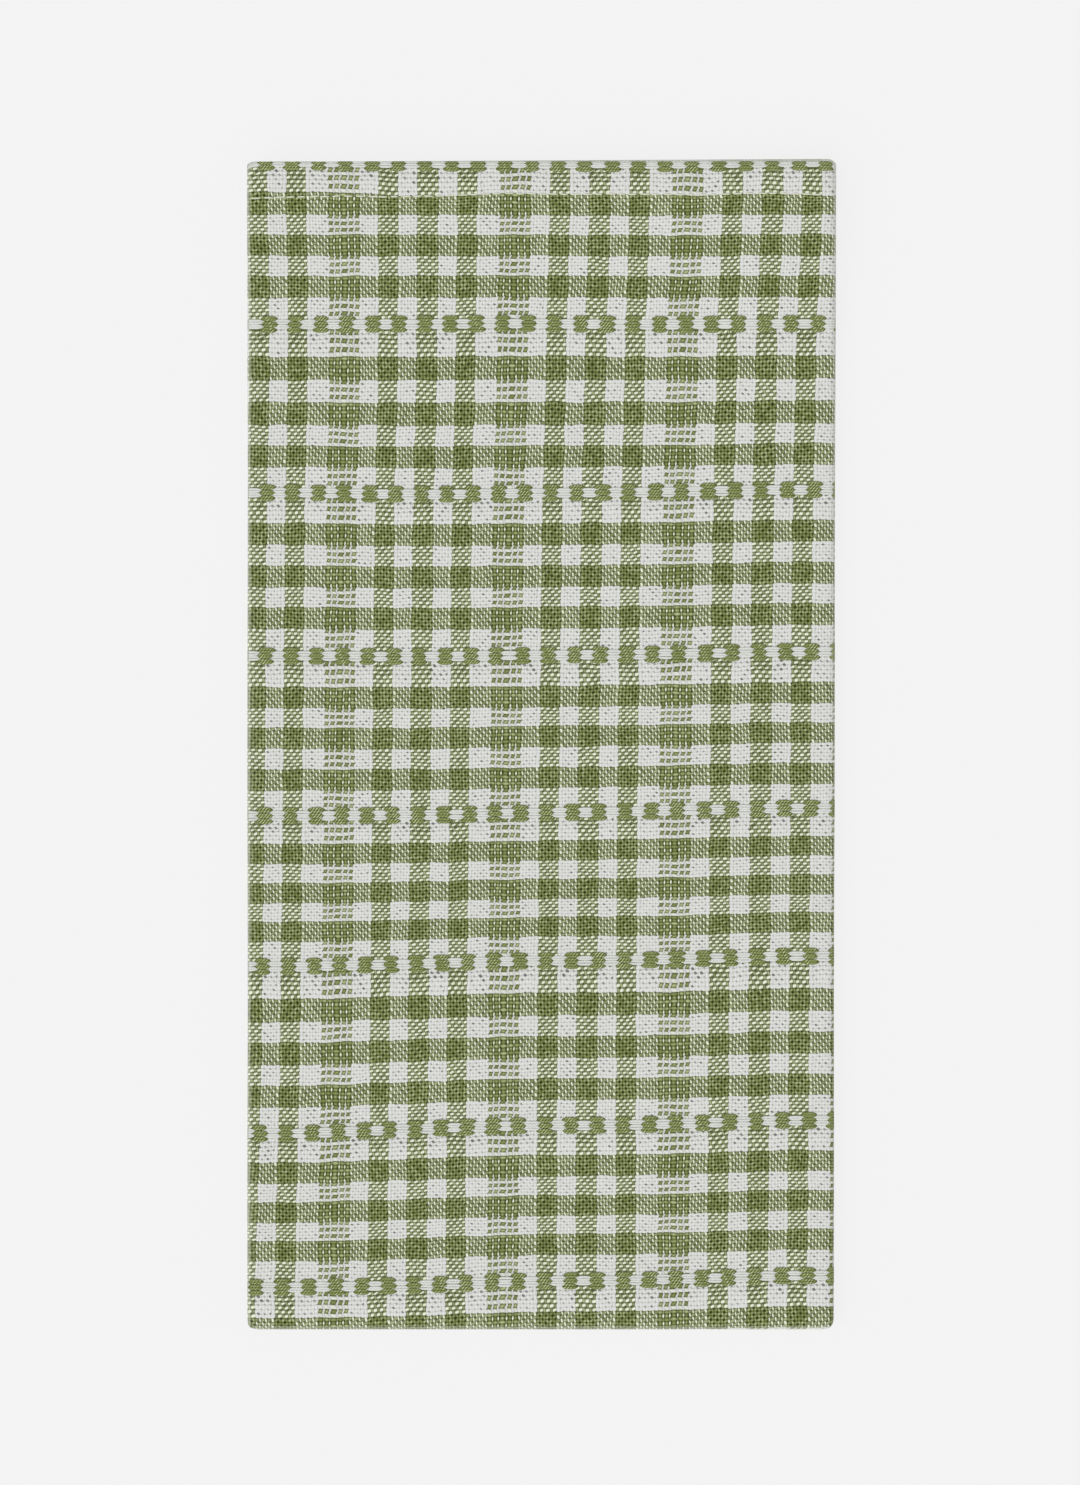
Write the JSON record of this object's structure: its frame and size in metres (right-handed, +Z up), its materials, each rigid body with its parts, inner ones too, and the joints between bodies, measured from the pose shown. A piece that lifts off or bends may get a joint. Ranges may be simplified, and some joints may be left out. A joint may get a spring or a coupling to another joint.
{
  "type": "tea towel",
  "caption": "Checked cotton tea towel with raised bands, hemmed, folded in thirds lengthwise and then in half, lying flat.",
  "frame": {"origin": "under the middle of the folded towel, on the surface that it lies on", "axes": "+Z up, +Y towards the hemmed end, +X towards the long side where the second flap turns in"},
  "size_m": [0.1762, 0.3493, 0.0108],
  "materials": {
    "cloth": "matt woven cotton, olive green and white checks with raised bands"
  },
  "bodies": {
    "root": {"towel": "cloth"}
  },
  "joints": []
}
